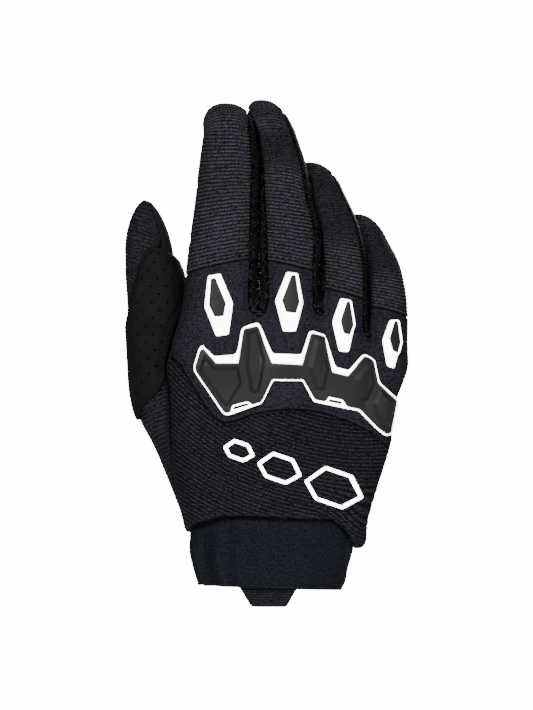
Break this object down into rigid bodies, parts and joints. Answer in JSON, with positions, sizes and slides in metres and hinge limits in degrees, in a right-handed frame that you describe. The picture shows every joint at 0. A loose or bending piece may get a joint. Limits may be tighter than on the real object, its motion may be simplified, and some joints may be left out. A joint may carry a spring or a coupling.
{
  "type": "motocross glove",
  "caption": "Full-finger motocross glove with a moulded knuckle guard, small finger guards, a thumb patch and a stretch cuff with a pull tab.",
  "frame": {"origin": "middle of the cuff's mouth, where the glove sits on the wrist", "axes": "+Z from the cuff's mouth along the hand to the fingertips, -Y out of the back of the hand, -X towards the thumb"},
  "size_m": [0.1334, 0.0735, 0.2386],
  "materials": {
    "knit": "matte ribbed textile",
    "suede": "matte synthetic suede",
    "mesh": "matte open mesh",
    "neoprene": "matte smooth textile",
    "white_rubber": "satin",
    "dark_rubber": "satin"
  },
  "bodies": {
    "root": {"back_panel": "knit", "cuff": "neoprene", "fourchette_index_middle": "mesh", "fourchette_middle_ring": "mesh", "fourchette_ring_little": "mesh", "index_back": "knit", "index_front": "suede", "index_guard_frame": "white_rubber", "index_guard_insert": "dark_rubber", "knuckle_guard_core": "dark_rubber", "knuckle_guard_frame": "white_rubber", "knuckle_panel": "knit", "little_back": "knit", "little_front": "suede", "little_guard_frame": "white_rubber", "little_guard_insert": "dark_rubber", "middle_back": "knit", "middle_front": "suede", "middle_guard_frame": "white_rubber", "middle_guard_insert": "dark_rubber", "palm_panel": "suede", "pull_tab": "neoprene", "ring_back": "knit", "ring_front": "suede", "ring_guard_frame": "white_rubber", "ring_guard_insert": "dark_rubber", "thumb_back": "knit", "thumb_front": "suede", "thumb_gusset": "knit", "thumb_patch": "suede"}
  },
  "joints": []
}
